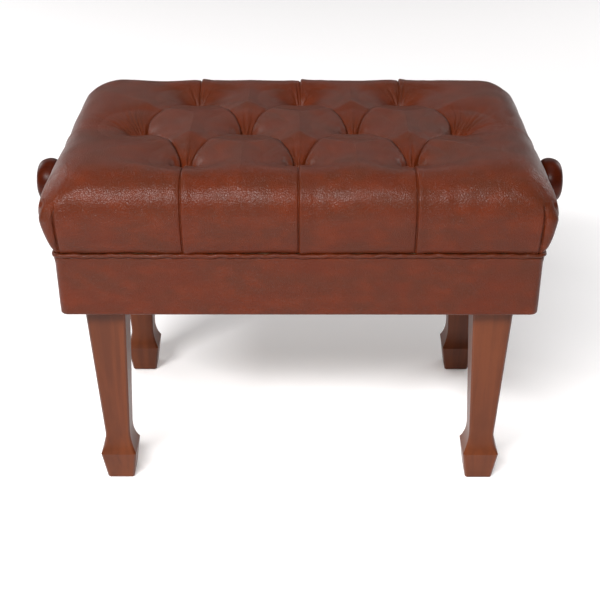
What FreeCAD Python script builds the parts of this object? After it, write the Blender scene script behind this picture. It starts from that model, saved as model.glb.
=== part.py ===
"""Height-adjustable piano bench with a deep-buttoned leather seat, as an assembly of separate pieces.

Frame: millimetres, +X to the sitter's right, +Y to the back, +Z up, origin on the floor under the middle.
The seat is drawn at its lowest setting. Turning either wooden knob turns one lead screw, which pulls the
free ends of two steel scissor frames together and lifts the leather-covered seat box off the leg frame.
"""
import FreeCAD, Part
import math
import os

V = FreeCAD.Vector
AXIS_X, AXIS_Y, AXIS_Z = V(1, 0, 0), V(0, 1, 0), V(0, 0, 1)
SIDES = ((-1, "left"), (1, "right"))
ENDS = ((-1, "front"), (1, "back"))
CORNERS = [(sx, sy, f"{end}_{side}") for sy, end in ENDS for sx, side in SIDES]

# ---- driving dimensions -------------------------------------------------------------------------------
# Legs: square, tapered, with a spade foot
LEG_X, LEG_Y = 240.0, 135.0  # leg centres
LEG_HALF = 25.0  # half width of the square top block
ANKLE_HALF, ANKLE_Z = 16.2, 74.0
SPADE_HALF, SPADE_Z = 23.2, 42.0
FOOT_HALF = 17.6
FOOT_Z = 2.0  # underside of the wood, standing on the glide
TAPER_TOP_Z = 268.0
LEG_TOP_Z = 356.0
LEG_CHAMFER = 12.0  # inner corner that the corner block pulls against
LEG_ARRIS = 1.6  # rounding of the long edges
GLIDE_R, GLIDE_PIN_R, GLIDE_PIN_TOP = 10.0, 1.3, 16.0

# Corner blocks and the hanger bolts that pull the legs against them
CORNER_BLOCK_T = 22.0
CORNER_BLOCK_Z0, CORNER_BLOCK_Z1 = 314.0, 352.0
BOLT_R, BOLT_Z = 4.0, 333.0
BOLT_HOLE_R, WASHER_BORE_R = 4.4, 4.1
LEG_BOLT_DEPTH, BOLT_TAIL = 34.0, 14.0
WASHER_R, WASHER_T = 10.0, 1.6
NUT_HALF, NUT_T = 6.5, 6.5  # half the distance across flats, and thickness
BLOCK_FACE = LEG_X + LEG_Y - 2 * LEG_HALF + LEG_CHAMFER  # |x| + |y| on the leg's chamfer

# Leg frame rails
RAIL_T = 18.0
RAIL_SETBACK = 2.0  # rails stand this far inside the legs' outer faces
RAIL_Z0, RAIL_Z1 = 276.0, 356.0

# Seat box: four boards and a top board, wrapped in leather
BOX_X, BOX_Y = 286.5, 180.0  # outer half sizes of the boards
BOX_T = 12.0
BOX_CORNER_R = 6.0
BOX_Z0, BOX_Z1 = 271.0, 392.0
BOARD_T = 12.0
BOARD_TOP = BOX_Z1 + BOARD_T
BUSHING_R, FLANGE_R, FLANGE_T = 9.0, 11.5, 2.0
GLUE_BLOCK_LEG = 30.0
GLUE_BLOCK_Z0 = 362.0
BOARD_SCREW_X = (-240.0, -120.0, 0.0, 120.0, 240.0)
BOARD_SCREW_R, BOARD_SCREW_DEPTH = 2.0, 24.0  # depth into the boards below
LEATHER_T = 1.5
PADDING_T = 2.5  # thin padding between the boards and the skirt's leather
PIPING_R, PIPING_Z = 2.6, 350.8
TURN_UP = 18.0  # how far the skirt's leather is turned up inside
TURN_UP_CORNER_R = 0.4

# Cushion: rings of the outer surface as (height, half width, half depth, corner radius)
CUSHION_RINGS = [
    (353.4, 291.5, 184.5, 12.0),
    (364.0, 297.0, 189.5, 19.0),
    (378.0, 303.0, 194.0, 26.0),
    (398.0, 308.0, 198.0, 34.0),
    (418.0, 305.5, 196.0, 40.0),
    (434.0, 297.0, 188.0, 46.0),
    (446.0, 283.0, 174.0, 50.0),
    (453.0, 263.0, 154.5, 54.0),
    (456.0, 236.0, 127.0, 58.0),
]
CUSHION_Z0, CUSHION_Z1 = CUSHION_RINGS[0][0], CUSHION_RINGS[-1][0]
COVER_T = 1.5
PANEL_GAP = 0.3  # between neighbouring foam strips

# Buttons that tie the leather down, in rows of three, four and three
BUTTON_ROWS = [
    (-110.0, (-137.0, 0.0, 137.0)),
    (0.0, (-205.5, -68.5, 68.5, 205.5)),
    (110.0, (-137.0, 0.0, 137.0)),
]
BUTTON_PLACES = [(x, y) for y, row in BUTTON_ROWS for x in row]
BUTTON_R, BUTTON_H, BUTTON_Z = 9.0, 5.0, 421.0  # BUTTON_Z is the underside of the button
BUTTON_ROUND = 1.8
BUTTON_GAP = 0.3  # between a button and the foam round it
TWINE_R = 1.2
KNOT_R, KNOT_H = 4.5, 4.0

# Scissor lift
ARM_LENGTH = 300.0  # between end pivots
PIVOT_X = -146.0  # the fixed ends
LOW_Z = 298.0  # height of the lower pivots
SCREW_Z = 368.0  # height of the upper pivots and of the lead screw, seat down
TRAVEL = 76.0
ARM_W, ARM_T = 22.0, 3.0
ARM_A_Y, ARM_B_Y = 122.5, 118.5  # outer faces of the two arms of one scissor
PIN_R = 5.0
RUN = 0.05  # radial running clearance
CHANNEL_T, CHANNEL_HALF_H, CHANNEL_HALF_L = 2.5, 13.0, 168.0
LOW_WEB_Y, UP_WEB_Y, FLANGE_Y = 140.0, 137.0, 124.0
MOUNT_FLANGE = 24.0
TRACK_SCREW_HEAD_R, TRACK_SCREW_HEAD_H, TRACK_SCREW_R = 3.6, 1.6, 2.0
LOW_SCREW_X = (-116.0, -14.0, 88.0)  # clear of the rollers' travel
UP_SCREW_X = (-150.0, -50.0, 50.0, 150.0)
LOW_SCREW_DEPTH, UP_SCREW_DEPTH = 15.0, 10.0  # into the rail and into the seat board
ROLLER_R = 10.2
ROLLER_INNER_Y, ROLLER_END_GAP = 125.5, 0.8
SHOE_HALF_L, SHOE_INNER_Y, SHOE_END_GAP = 13.0, 125.0, 0.6
BAR_R = 8.0  # thick middle of the cross bars, pin heads and spacers
PIN_HEAD_T, PIN_TAIL_T = 1.4, 1.8
BLOCK_X, BLOCK_Y, BLOCK_Z = 26.0, 30.0, 26.0  # nut block and thrust block
BLOCK_ROUND = 2.0
SHAFT_R, THREAD_R = 6.0, 7.0
THREAD_X0, THREAD_X1 = 86.0, 178.0
SHAFT_END_X = 332.0
COLLAR_R, COLLAR_W, COLLAR_GAP = 11.0, 8.0, 0.3

# Knobs; the outline is (distance back from the tip, share of the full radius)
KNOB_TIP_X = 342.0
KNOB_NECK_X, KNOB_NECK_R = 303.0, 11.0
KNOB_R = 29.4
KNOB_OUTLINE = [
    (33.0, 0.37), (30.0, 0.64), (25.5, 0.92), (18.5, 1.0),
    (10.5, 0.957), (4.5, 0.827), (1.3, 0.567), (0.0, 0.0),
]
INSERT_R = 8.0
KNOB_HOLE_R = 12.5  # opening in the cushion's side that the knob's neck runs in

START_ANGLE = math.asin((SCREW_Z - LOW_Z) / ARM_LENGTH)
FREE_X = PIVOT_X + ARM_LENGTH * math.cos(START_ANGLE)  # the sliding ends, seat down
MID_X, MID_Z = (PIVOT_X + FREE_X) / 2, (LOW_Z + SCREW_Z) / 2

parts = {}


# ---- small helpers ------------------------------------------------------------------------------------
def block(x0, x1, y0, y1, z0, z1):
    """Box between two corners, given in any order."""
    lo = V(min(x0, x1), min(y0, y1), min(z0, z1))
    return Part.makeBox(abs(x1 - x0), abs(y1 - y0), abs(z1 - z0), lo)


def rod(radius, start, end):
    """Cylinder from one point to another."""
    start, end = V(*start), V(*end)
    return Part.makeCylinder(radius, (end - start).Length, start, end - start)


def tube(outer, inner, start, end):
    return rod(outer, start, end).cut(rod(inner, start, end))


def prism(points, z0, z1):
    """Upright prism on a plan outline."""
    outline = Part.makePolygon([V(x, y, z0) for x, y in points + points[:1]])
    return Part.Face(outline).extrude(V(0, 0, z1 - z0))


def fuse(first, *others):
    made = first
    for other in others:
        made = made.fuse(other)
    return made.removeSplitter()


def group(solids):
    return Part.makeCompound(solids)


def rounded_ring(z, half_x, half_y, radius):
    """Closed wire: a rectangle with round corners."""
    cx, cy = half_x - radius, half_y - radius
    edges = []
    for centre, start in (((cx, cy), 0), ((-cx, cy), 90), ((-cx, -cy), 180), ((cx, -cy), 270)):
        a0, a1, a2 = (math.radians(start + turn) for turn in (0, 45, 90))
        arc = [V(centre[0] + radius * math.cos(a), centre[1] + radius * math.sin(a), z) for a in (a0, a1, a2)]
        if edges:
            edges.append(Part.makeLine(edges[-1].lastVertex().Point, arc[0]))
        edges.append(Part.Arc(*arc).toShape())
    edges.append(Part.makeLine(edges[-1].lastVertex().Point, edges[0].firstVertex().Point))
    return Part.Wire(edges)


def track_screw(head_at, tip_at):
    """A pan-head screw: its head stands on head_at, and its plain shank ends at tip_at."""
    head_at, tip_at = V(*head_at), V(*tip_at)
    way = (tip_at - head_at).normalize()
    head = Part.makeCylinder(TRACK_SCREW_HEAD_R, TRACK_SCREW_HEAD_H, head_at - way * TRACK_SCREW_HEAD_H, way)
    shank = Part.makeCylinder(TRACK_SCREW_R, (tip_at - head_at).Length, head_at, way)
    return head.fuse(shank)


# ---- leg frame ----------------------------------------------------------------------------------------
def leg_outline(widen=1.0, trim=0.0):
    """Half widths of one leg at its turning points, as a closed wire in the XZ plane centred on x = 0."""
    halves = (FOOT_HALF, SPADE_HALF, ANKLE_HALF, LEG_HALF)
    foot, spade_half, ankle_half, top = (w * widen - trim for w in halves)
    normal = V(1, 0, -(top - ankle_half) / (TAPER_TOP_Z - ANKLE_Z)).normalize()
    ankle, spade = V(ankle_half, 0, ANKLE_Z), V(spade_half, 0, SPADE_Z)
    radius = (spade - ankle).Length ** 2 / (2 * (spade - ankle).dot(normal))
    centre = ankle + normal * radius
    halfway = centre + ((ankle + spade) * 0.5 - centre).normalize() * radius
    toe, taper_top, head = V(foot, 0, FOOT_Z), V(top, 0, TAPER_TOP_Z), V(top, 0, LEG_TOP_Z)

    def mirrored(p):
        return V(-p.x, 0, p.z)

    straight = [
        (mirrored(toe), toe), (toe, spade), (ankle, taper_top),
        (taper_top, head), (head, mirrored(head)),
    ]
    straight += [(mirrored(p), mirrored(q)) for p, q in ((head, taper_top), (taper_top, ankle), (spade, toe))]
    edges = [Part.makeLine(p, q) for p, q in straight]
    edges.append(Part.Arc(spade, halfway, ankle).toShape())
    edges.append(Part.Arc(mirrored(ankle), mirrored(halfway), mirrored(spade)).toShape())
    return Part.Wire(Part.__sortEdges__(edges))


def leg_blank():
    """The leg before drilling, on the Z axis: sawn from two sides, its long edges then planed off."""
    reach = 4 * LEG_HALF
    blank = None
    for turn in (0, 90, 45, 135):
        planed = turn % 90
        outline = leg_outline(math.sqrt(2), LEG_ARRIS) if planed else leg_outline()
        sawn = Part.Face(outline).extrude(V(0, reach, 0))
        sawn.translate(V(0, -reach / 2, 0))
        sawn.rotate(V(0, 0, 0), AXIS_Z, turn)
        blank = sawn if blank is None else blank.common(sawn)
    return blank


def leg(blank, sx, sy):
    """One drilled leg in its place, chamfered on the corner that faces the bench's centre."""
    made = blank.copy()
    made.translate(V(sx * LEG_X, sy * LEG_Y, 0))
    inner_x, inner_y = LEG_X - LEG_HALF, LEG_Y - LEG_HALF
    wedge = [
        (inner_x - 1, inner_y - 1),
        (inner_x + LEG_CHAMFER + 1, inner_y - 1),
        (inner_x - 1, inner_y + LEG_CHAMFER + 1),
    ]
    made = made.cut(prism([(sx * x, sy * y) for x, y in wedge], RAIL_Z0 + 2, LEG_TOP_Z + 1))
    made = made.cut(hanger_axis_rod(sx, sy, BOLT_R, -1, LEG_BOLT_DEPTH))
    return made.cut(rod(GLIDE_PIN_R, (sx * LEG_X, sy * LEG_Y, 0), (sx * LEG_X, sy * LEG_Y, GLIDE_PIN_TOP)))


def hanger_axis_rod(sx, sy, radius, start, end):
    """Cylinder on a hanger bolt's axis, between distances measured into the leg from its chamfer."""
    middle = BLOCK_FACE / 2 - (LEG_X - LEG_Y) / 2
    face = V(sx * (middle + LEG_X - LEG_Y), sy * middle, BOLT_Z)
    way = V(sx, sy, 0).normalize()
    return Part.makeCylinder(radius, end - start, face + way * start, way)


def corner_block(sx, sy):
    """Wooden block across the inside corner, bored for the hanger bolt."""
    rail_x = LEG_X + LEG_HALF - RAIL_SETBACK - RAIL_T
    rail_y = LEG_Y + LEG_HALF - RAIL_SETBACK - RAIL_T
    near, far = BLOCK_FACE - CORNER_BLOCK_T * math.sqrt(2), BLOCK_FACE
    outline = [
        (rail_x, near - rail_x), (rail_x, far - rail_x),
        (far - rail_y, rail_y), (near - rail_y, rail_y),
    ]
    made = prism([(sx * x, sy * y) for x, y in outline], CORNER_BLOCK_Z0, CORNER_BLOCK_Z1)
    return made.cut(hanger_axis_rod(sx, sy, BOLT_HOLE_R, -CORNER_BLOCK_T - 5, 5))


def make_leg_frame():
    blank = leg_blank()
    for sx, sy, name in CORNERS:
        parts[f"leg_{name}"] = leg(blank, sx, sy)
        parts[f"corner_block_{name}"] = corner_block(sx, sy)
    out_x, out_y = LEG_X + LEG_HALF - RAIL_SETBACK, LEG_Y + LEG_HALF - RAIL_SETBACK
    for s, name in ENDS:
        reach = LEG_X - LEG_HALF
        parts[f"rail_{name}"] = block(-reach, reach, s * out_y, s * (out_y - RAIL_T), RAIL_Z0, RAIL_Z1)
    for s, name in SIDES:
        reach = LEG_Y - LEG_HALF
        parts[f"rail_{name}"] = block(s * out_x, s * (out_x - RAIL_T), -reach, reach, RAIL_Z0, RAIL_Z1)
    bolts, nuts, washers = [], [], []
    washer_face = -CORNER_BLOCK_T - WASHER_T
    nut_face = washer_face - 0.1
    for sx, sy, _ in CORNERS:
        bolts.append(hanger_axis_rod(sx, sy, BOLT_R - RUN, -CORNER_BLOCK_T - BOLT_TAIL, LEG_BOLT_DEPTH - 1))
        washer = hanger_axis_rod(sx, sy, WASHER_R, washer_face, -CORNER_BLOCK_T)
        washers.append(washer.cut(hanger_axis_rod(sx, sy, WASHER_BORE_R, washer_face - 1, 0)))
        nut = hex_nut(sx, sy, NUT_HALF, nut_face - NUT_T, nut_face)
        nuts.append(nut.cut(hanger_axis_rod(sx, sy, BOLT_R, nut_face - NUT_T - 1, 0)))
    parts["leg_hanger_bolts"] = group(bolts)
    parts["leg_bolt_washers"] = group(washers)
    parts["leg_bolt_nuts"] = group(nuts)
    glides = []
    for sx, sy, _ in CORNERS:
        x, y = sx * LEG_X, sy * LEG_Y
        disc = rod(GLIDE_R, (x, y, 0), (x, y, FOOT_Z))
        glides.append(disc.fuse(rod(GLIDE_PIN_R - RUN, (x, y, FOOT_Z), (x, y, GLIDE_PIN_TOP - 0.5))))
    parts["foot_glides"] = group(glides)


def hex_nut(sx, sy, across_half, start, end):
    """Hexagonal prism on a hanger bolt's axis."""
    radius = across_half / math.cos(math.radians(30))
    turns = [math.radians(60 * i) for i in range(6)]
    flat = [V(0, radius * math.cos(t), radius * math.sin(t)) for t in turns]
    made = Part.Face(Part.makePolygon(flat + flat[:1])).extrude(V(end - start, 0, 0))
    made.rotate(V(0, 0, 0), AXIS_Z, math.degrees(math.atan2(sy, sx)))
    seat = hanger_axis_rod(sx, sy, 1, start, end).CenterOfMass
    made.translate(seat - made.CenterOfMass)
    return made


# ---- seat box and upholstery ----------------------------------------------------------------------------
def cushion_solid(inset):
    """The cushion's outer body, drawn in by inset all round and at the top."""
    rings = []
    for z, half_x, half_y, radius in CUSHION_RINGS:
        lowered = z - inset * (z - CUSHION_Z0) / (CUSHION_Z1 - CUSHION_Z0)
        rings.append(rounded_ring(lowered, half_x - inset, half_y - inset, radius))
    return Part.makeLoft(rings, True, True)


def box_volume(z0, z1):
    """The seat box as one solid block with its round corners."""
    return Part.Face(rounded_ring(z0, BOX_X, BOX_Y, BOX_CORNER_R)).extrude(V(0, 0, z1 - z0))


def make_seat_box():
    inner_x = BOX_X - BOX_T
    for s, name in ENDS:
        board = block(-BOX_X, BOX_X, s * BOX_Y, s * (BOX_Y - BOX_T), BOX_Z0, BOX_Z1)
        parts[f"box_{name}"] = board.common(box_volume(BOX_Z0, BOX_Z1))
    reach = BOX_Y - BOX_T
    bushings = []
    for s, name in SIDES:
        board = block(s * BOX_X, s * inner_x, -reach, reach, BOX_Z0, BOX_Z1)
        hole = rod(BUSHING_R, (s * (inner_x - 1), 0, SCREW_Z), (s * (BOX_X + 1), 0, SCREW_Z))
        parts[f"box_{name}"] = board.cut(hole)
        sleeve = rod(BUSHING_R - RUN, (s * inner_x, 0, SCREW_Z), (s * BOX_X, 0, SCREW_Z))
        flange = rod(FLANGE_R, (s * BOX_X, 0, SCREW_Z), (s * (BOX_X + FLANGE_T), 0, SCREW_Z))
        bore = rod(SHAFT_R + RUN, (s * (inner_x - 1), 0, SCREW_Z), (s * (BOX_X + FLANGE_T + 1), 0, SCREW_Z))
        bushings.append(sleeve.fuse(flange).cut(bore))
    parts["shaft_bushings"] = group(bushings)
    board = box_volume(BOX_Z1, BOARD_TOP)
    for x, y in BUTTON_PLACES:
        board = board.cut(rod(TWINE_R + 1, (x, y, BOX_Z1 - 1), (x, y, BOARD_TOP + 1)))
    parts["seat_board"] = board
    glue_blocks = []
    for sx, sy, _ in CORNERS:
        cx, cy = inner_x, BOX_Y - BOX_T
        outline = [(cx, cy), (cx - GLUE_BLOCK_LEG, cy), (cx, cy - GLUE_BLOCK_LEG)]
        glue_blocks.append(prism([(sx * x, sy * y) for x, y in outline], GLUE_BLOCK_Z0, BOX_Z1))
    parts["box_corner_blocks"] = group(glue_blocks)
    screws = []
    for sy in (-1, 1):
        for x in BOARD_SCREW_X:
            y = sy * (BOX_Y - BOX_T / 2)
            screws.append(rod(BOARD_SCREW_R, (x, y, BOX_Z1 - BOARD_SCREW_DEPTH), (x, y, BOARD_TOP)))
    parts["board_screws"] = group(screws)
    for screw in screws:
        parts["seat_board"] = parts["seat_board"].cut(screw)
        for name in ("box_front", "box_back"):
            parts[name] = parts[name].cut(screw)


def ring_wall(out_x, out_y, thickness, radius, z0, z1):
    """Upright wall round the box, outer half sizes out_x by out_y."""
    outer = Part.Face(rounded_ring(z0, out_x, out_y, radius)).extrude(V(0, 0, z1 - z0))
    inner_radius = max(radius - thickness, 0.2)
    inner_ring = rounded_ring(z0, out_x - thickness, out_y - thickness, inner_radius)
    inner = Part.Face(inner_ring).extrude(V(0, 0, z1 - z0))
    return outer.cut(inner)


def make_upholstery():
    body = cushion_solid(0)
    core = cushion_solid(COVER_T)
    parts["cushion_cover"] = body.cut(core).cut(shaft_openings())
    top_foam = core.common(block(-400, 400, -300, 300, BOARD_TOP, 500))
    holes = [rod(BUTTON_R + BUTTON_GAP, (x, y, BUTTON_Z - 0.2), (x, y, 500)) for x, y in BUTTON_PLACES]
    twine = [rod(TWINE_R + RUN, (x, y, BOX_Z1 - 6), (x, y, BUTTON_Z)) for x, y in BUTTON_PLACES]
    for cutter in holes + twine:
        top_foam = top_foam.cut(cutter)
        parts["cushion_cover"] = parts["cushion_cover"].cut(cutter)
    parts["foam_top"] = top_foam
    edge_foam = core.common(block(-400, 400, -300, 300, CUSHION_Z0, BOARD_TOP))
    edge_foam = edge_foam.cut(box_volume(0, BOARD_TOP)).cut(shaft_openings())
    for s, name in ENDS:
        parts[f"foam_edge_{name}"] = edge_foam.common(block(-400, 400, s * BOX_Y, s * 300, 0, 500))
    for s, name in SIDES:
        strip = block(s * BOX_X, s * 400, -BOX_Y + PANEL_GAP, BOX_Y - PANEL_GAP, 0, 500)
        parts[f"foam_edge_{name}"] = edge_foam.common(strip)
    buttons = []
    ties = []
    for x, y in BUTTON_PLACES:
        cap = rod(BUTTON_R, (x, y, BUTTON_Z), (x, y, BUTTON_Z + BUTTON_H))
        rim = [e for e in cap.Edges if abs(e.CenterOfMass.z - BUTTON_Z - BUTTON_H) < 0.01]
        buttons.append(cap.makeFillet(BUTTON_ROUND, rim))
        tie = rod(TWINE_R, (x, y, BOX_Z1 - 1), (x, y, BUTTON_Z))
        ties.append(tie.fuse(rod(KNOT_R, (x, y, BOX_Z1 - KNOT_H), (x, y, BOX_Z1))))
    parts["tuft_buttons"] = group(buttons)
    parts["button_ties"] = group(ties)
    make_skirt()


def shaft_openings():
    """Round openings in the cushion's two sides for the knobs' necks."""
    return group([rod(KNOB_HOLE_R, (s * BOX_X, 0, SCREW_Z), (s * 400, 0, SCREW_Z)) for s in (-1, 1)])


def make_skirt():
    skirt_top = PIPING_Z - PIPING_R
    pad_x, pad_y, pad_corner = BOX_X + PADDING_T, BOX_Y + PADDING_T, BOX_CORNER_R + PADDING_T
    parts["skirt_padding"] = ring_wall(pad_x, pad_y, PADDING_T, pad_corner, BOX_Z0, skirt_top)
    out_x, out_y, corner = pad_x + LEATHER_T, pad_y + LEATHER_T, pad_corner + LEATHER_T
    face = ring_wall(out_x, out_y, LEATHER_T, corner, BOX_Z0 - LEATHER_T, skirt_top)
    sole_w = LEATHER_T + PADDING_T + BOX_T + LEATHER_T
    sole = ring_wall(out_x, out_y, sole_w, corner, BOX_Z0 - LEATHER_T, BOX_Z0)
    inner_x, inner_y = BOX_X - BOX_T, BOX_Y - BOX_T
    turned = ring_wall(inner_x, inner_y, LEATHER_T, TURN_UP_CORNER_R, BOX_Z0 - LEATHER_T, BOX_Z0 + TURN_UP)
    parts["skirt_cover"] = fuse(face, sole, turned)
    path = rounded_ring(PIPING_Z, out_x, out_y, corner)
    start = path.Vertexes[0].Point
    direction = path.Edges[0].tangentAt(path.Edges[0].FirstParameter)
    section = Part.Wire([Part.makeCircle(PIPING_R, start, direction)])
    parts["piping"] = path.makePipeShell([section], True, False)


# ---- scissor lift --------------------------------------------------------------------------------------
def arm(low, high, y_outer, s):
    """Flat steel arm with round ends and three holes, between two pivots given as (x, z)."""
    y0, y1 = s * y_outer, s * (y_outer - ARM_T)
    long_way = V(high[0] - low[0], 0, high[1] - low[1])
    bar = Part.makeBox(ARM_LENGTH, ARM_T, ARM_W, V(0, 0, -ARM_W / 2))
    bar.rotate(V(0, 0, 0), AXIS_Y, -math.degrees(math.atan2(long_way.z, long_way.x)))
    bar.translate(V(low[0], min(y0, y1), low[1]))
    made = bar
    middle = ((low[0] + high[0]) / 2, (low[1] + high[1]) / 2)
    for x, z in (low, high):
        made = made.fuse(rod(ARM_W / 2, (x, y0, z), (x, y1, z)))
    made = made.removeSplitter()
    for x, z in (low, high, middle):
        made = made.cut(rod(PIN_R + RUN, (x, y0 - s, z), (x, y1 + s, z)))
        made = made.cut(rod(PIN_R + RUN, (x, y0 + s, z), (x, y1 - s, z)))
    return made


def channel(s, web_y, z_mid, top_z=None):
    """C-section track, open towards the bench's middle; with top_z its web runs up to a mounting flange."""
    z0, z1 = z_mid - CHANNEL_HALF_H, z_mid + CHANNEL_HALF_H
    reach = CHANNEL_HALF_L
    inner_web = web_y - CHANNEL_T
    made = block(-reach, reach, s * web_y, s * inner_web, z0, top_z or z1)
    for z in (z0, z1 - CHANNEL_T):
        made = made.fuse(block(-reach, reach, s * web_y, s * FLANGE_Y, z, z + CHANNEL_T))
    if top_z:
        flange_y = s * (web_y + MOUNT_FLANGE)
        made = made.fuse(block(-reach, reach, s * inner_web, flange_y, top_z - CHANNEL_T, top_z))
    return made.removeSplitter()


def make_tracks():
    low_screws, up_screws = [], []
    for s, name in ENDS:
        low = channel(s, LOW_WEB_Y, LOW_Z)
        up = channel(s, UP_WEB_Y, SCREW_Z, BOX_Z1)
        low = low.cut(rod(PIN_R, (PIVOT_X, s * (LOW_WEB_Y + 1), LOW_Z), (PIVOT_X, s * 130, LOW_Z)))
        up = up.cut(rod(PIN_R, (PIVOT_X, s * (UP_WEB_Y + 1), SCREW_Z), (PIVOT_X, s * 130, SCREW_Z)))
        inside, into_rail = LOW_WEB_Y - CHANNEL_T, LOW_WEB_Y + LOW_SCREW_DEPTH
        low_screws += [track_screw((x, s * inside, LOW_Z), (x, s * into_rail, LOW_Z)) for x in LOW_SCREW_X]
        y = s * (UP_WEB_Y + MOUNT_FLANGE / 2 + 2)
        under, into_board = BOX_Z1 - CHANNEL_T, BOX_Z1 + UP_SCREW_DEPTH
        up_screws += [track_screw((x, y, under), (x, y, into_board)) for x in UP_SCREW_X]
        for screw in low_screws:
            low = low.cut(screw)
            parts[f"rail_{name}"] = parts[f"rail_{name}"].cut(screw)
        for screw in up_screws:
            up = up.cut(screw)
            parts["seat_board"] = parts["seat_board"].cut(screw)
        parts[f"lower_track_{name}"] = low
        parts[f"upper_track_{name}"] = up
    parts["lower_track_screws"] = group(low_screws)
    parts["upper_track_screws"] = group(up_screws)


def shaft_y(reach, x, z):
    return rod(PIN_R, (x, -reach, z), (x, reach, z))


def bored_block(x, bore_r):
    """Steel block on the lead screw's axis, bored along X and socketed for a cross bar on both sides."""
    low, high = SCREW_Z - BLOCK_Z / 2, SCREW_Z + BLOCK_Z / 2
    made = block(x - BLOCK_X / 2, x + BLOCK_X / 2, -BLOCK_Y / 2, BLOCK_Y / 2, low, high)
    along_x = [e for e in made.Edges if abs(e.tangentAt(e.FirstParameter).x) > 0.9]
    made = made.makeFillet(BLOCK_ROUND, along_x)
    return made.cut(rod(bore_r, (x - BLOCK_X, 0, SCREW_Z), (x + BLOCK_X, 0, SCREW_Z)))


def cross_bar(s, x, end_y):
    """Half of an upper cross bar: thick from the block to the arms, thinner where the arms pivot on it."""
    shoulder = min(ARM_A_Y, ARM_B_Y) - ARM_T - 1
    thick = rod(BAR_R, (x, s * BLOCK_Y / 2, SCREW_Z), (x, s * shoulder, SCREW_Z))
    return thick.fuse(rod(PIN_R, (x, s * shoulder, SCREW_Z), (x, s * end_y, SCREW_Z)))


def make_scissors():
    low_fixed, low_free = (PIVOT_X, LOW_Z), (FREE_X, LOW_Z)
    up_fixed, up_free = (PIVOT_X, SCREW_Z), (FREE_X, SCREW_Z)
    web_gap = LOW_WEB_Y - CHANNEL_T
    spacers, centre_pins, rollers, shoes, nut_bars, thrust_bars = [], [], [], [], [], []
    for s, name in ENDS:
        parts[f"arm_a_{name}"] = arm(low_fixed, up_free, ARM_A_Y, s)
        parts[f"arm_b_{name}"] = arm(up_fixed, low_free, ARM_B_Y, s)
        tail_y = ARM_B_Y - ARM_T - 1.0
        pin = rod(PIN_R, (MID_X, s * ARM_A_Y, MID_Z), (MID_X, s * tail_y, MID_Z))
        head = rod(BAR_R, (MID_X, s * ARM_A_Y, MID_Z), (MID_X, s * (ARM_A_Y + PIN_HEAD_T), MID_Z))
        tail = rod(BAR_R, (MID_X, s * tail_y, MID_Z), (MID_X, s * (tail_y - PIN_TAIL_T), MID_Z))
        centre_pins.append(fuse(pin, head, tail))
        spacer_end = (PIVOT_X, s * (ARM_A_Y + 0.2), LOW_Z)
        spacers.append(tube(BAR_R, PIN_R, (PIVOT_X, s * web_gap, LOW_Z), spacer_end))
        roller_y = web_gap - ROLLER_END_GAP
        roller_end = (FREE_X, s * ROLLER_INNER_Y, LOW_Z)
        rollers.append(tube(ROLLER_R, PIN_R + RUN, (FREE_X, s * roller_y, LOW_Z), roller_end))
        inner = UP_WEB_Y - CHANNEL_T - SHOE_END_GAP
        x0, x1 = FREE_X - SHOE_HALF_L, FREE_X + SHOE_HALF_L
        shoe = block(x0, x1, s * inner, s * SHOE_INNER_Y, SCREW_Z - ROLLER_R, SCREW_Z + ROLLER_R)
        shoes.append(shoe.cut(rod(PIN_R, (FREE_X, s * 120, SCREW_Z), (FREE_X, s * 140, SCREW_Z))))
        nut_bars.append(cross_bar(s, FREE_X, inner))
        thrust_bars.append(cross_bar(s, PIVOT_X, UP_WEB_Y))
    parts["scissor_centre_pins"] = group(centre_pins)
    parts["lower_pivot_spacers"] = group(spacers)
    parts["track_rollers"] = group(rollers)
    parts["nut_bar_shoes"] = group(shoes)
    parts["nut_bars"] = group(nut_bars)
    parts["thrust_bars"] = group(thrust_bars)
    parts["lower_pivot_shaft"] = shaft_y(LOW_WEB_Y, *low_fixed)
    parts["roller_shaft"] = shaft_y(web_gap - SHOE_END_GAP, *low_free)
    parts["nut_block"] = bored_block(FREE_X, THREAD_R + RUN)
    parts["thrust_block"] = bored_block(PIVOT_X, SHAFT_R + RUN)


# ---- lead screw and knobs --------------------------------------------------------------------------------
def knob(s):
    """Turned wooden knob: slim neck, full round body, gently domed face."""
    tip, neck_r = KNOB_TIP_X, KNOB_NECK_R
    neck_end = tip - KNOB_OUTLINE[0][0]
    body = [(neck_end, neck_r)] + [(tip - back, KNOB_R * share) for back, share in KNOB_OUTLINE[1:]]
    curve = Part.BSplineCurve()
    curve.interpolate([V(x, 0, r) for x, r in body])
    start, end = V(KNOB_NECK_X, 0, 0), V(tip, 0, 0)
    rim = V(KNOB_NECK_X, 0, neck_r)
    step, back = Part.makeLine(rim, V(neck_end, 0, neck_r)), Part.makeLine(end, start)
    edges = [Part.makeLine(start, rim), step, curve.toShape(), back]
    made = Part.Face(Part.Wire(edges)).revolve(V(0, 0, 0), AXIS_X, 360)
    made.translate(V(0, 0, SCREW_Z))
    if s < 0:
        made.rotate(V(0, 0, SCREW_Z), AXIS_Z, 180)
    return made.cut(rod(INSERT_R, (s * (KNOB_NECK_X - 1), 0, SCREW_Z), (s * (SHAFT_END_X + 0.5), 0, SCREW_Z)))


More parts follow.
